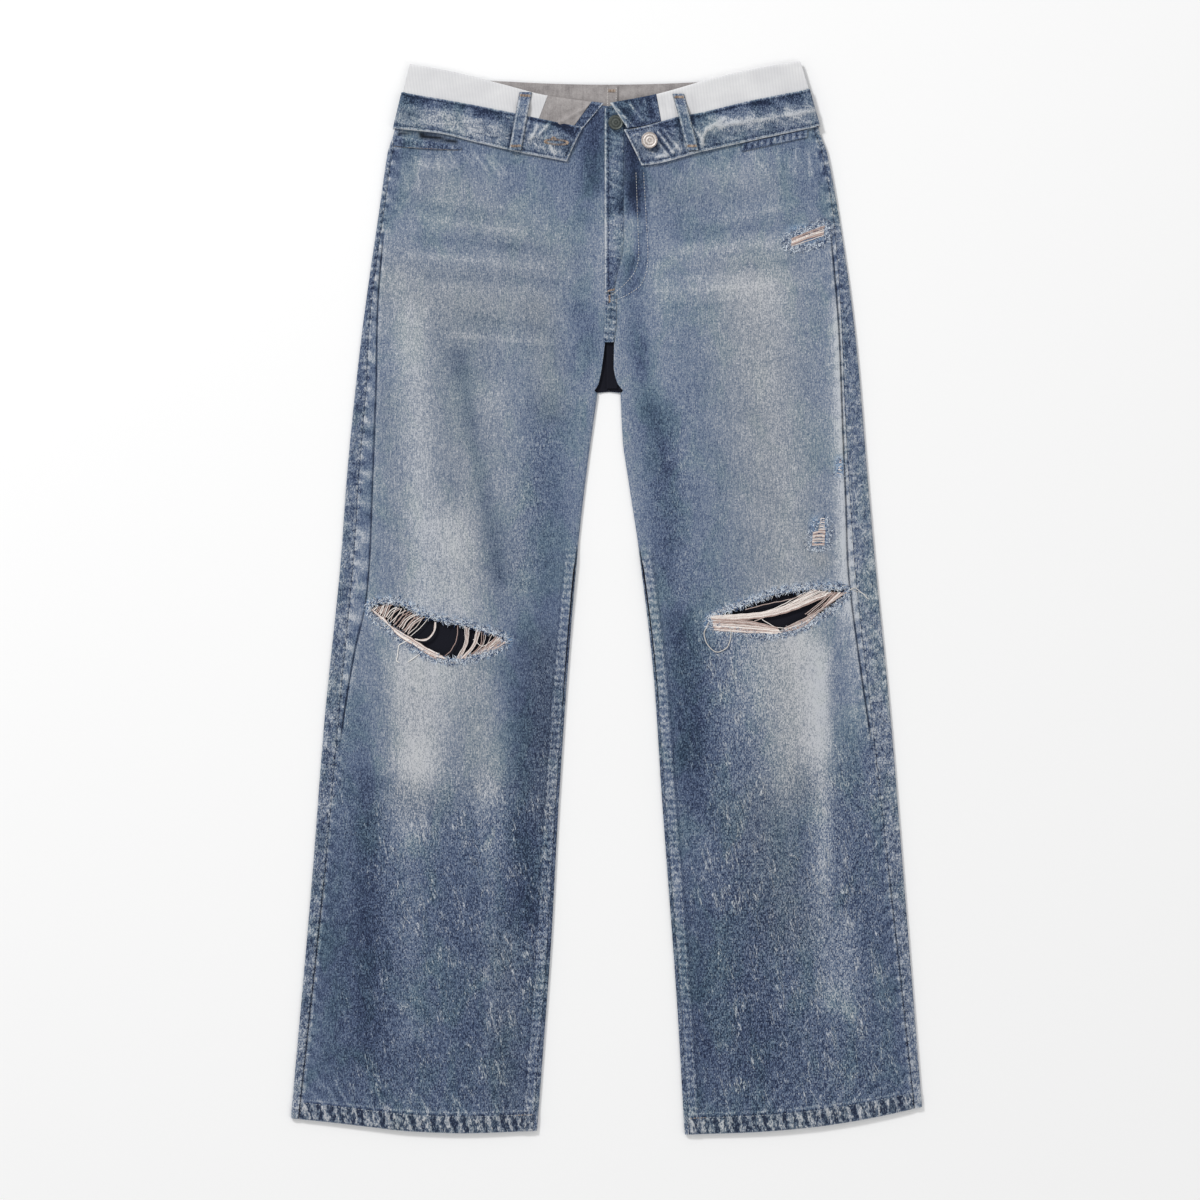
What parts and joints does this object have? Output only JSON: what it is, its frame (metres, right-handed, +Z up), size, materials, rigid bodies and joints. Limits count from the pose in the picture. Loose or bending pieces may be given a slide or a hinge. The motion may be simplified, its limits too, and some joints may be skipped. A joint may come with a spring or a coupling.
{
  "type": "ripped jeans",
  "caption": "Straight wide-leg denim jeans laid flat, front of the waist turned down, with frayed rips across both knees.",
  "frame": {"origin": "on the surface, under the middle of the outline of the jeans as they lie", "axes": "+Y towards the waist along the garment, +X to the right seen from above, +Z up off the surface"},
  "size_m": [0.6568, 1.1162, 0.0139],
  "materials": {
    "denim_front": "faded stonewashed denim",
    "denim_back": "darker washed denim",
    "denim_dark": "dark washed denim with pale creases",
    "denim_reverse": "reverse side of denim, warm grey",
    "bag_cotton": "white pocket cotton with a fine rib",
    "button_pale": "satin",
    "button_dark": "dark satin"
  },
  "bodies": {
    "root": {"back_leg_left": "denim_back", "back_leg_right": "denim_back", "back_yoke_left": "denim_back", "back_yoke_right": "denim_back", "back_side_left": "denim_back", "back_side_right": "denim_back", "back_inseam_left": "denim_back", "back_inseam_right": "denim_back", "front_leg_left": "denim_front", "front_leg_right": "denim_front", "centre_back_seam": "denim_reverse", "fly_strip": "denim_front", "centre_front_seam": "denim_front", "pocket_bag_left": "bag_cotton", "pocket_bag_right": "bag_cotton", "turned_front_left": "denim_reverse", "fly_facing_left": "denim_dark", "turned_fly_right": "denim_dark", "waistband_left": "denim_dark", "waistband_right": "denim_dark", "waistband_back": "denim_back", "belt_loop_left": "denim_dark", "belt_loop_right": "denim_dark", "pocket_edge_left": "denim_front", "pocket_edge_right": "denim_front", "waist_button": "button_pale", "fly_button": "button_dark"}
  },
  "joints": []
}
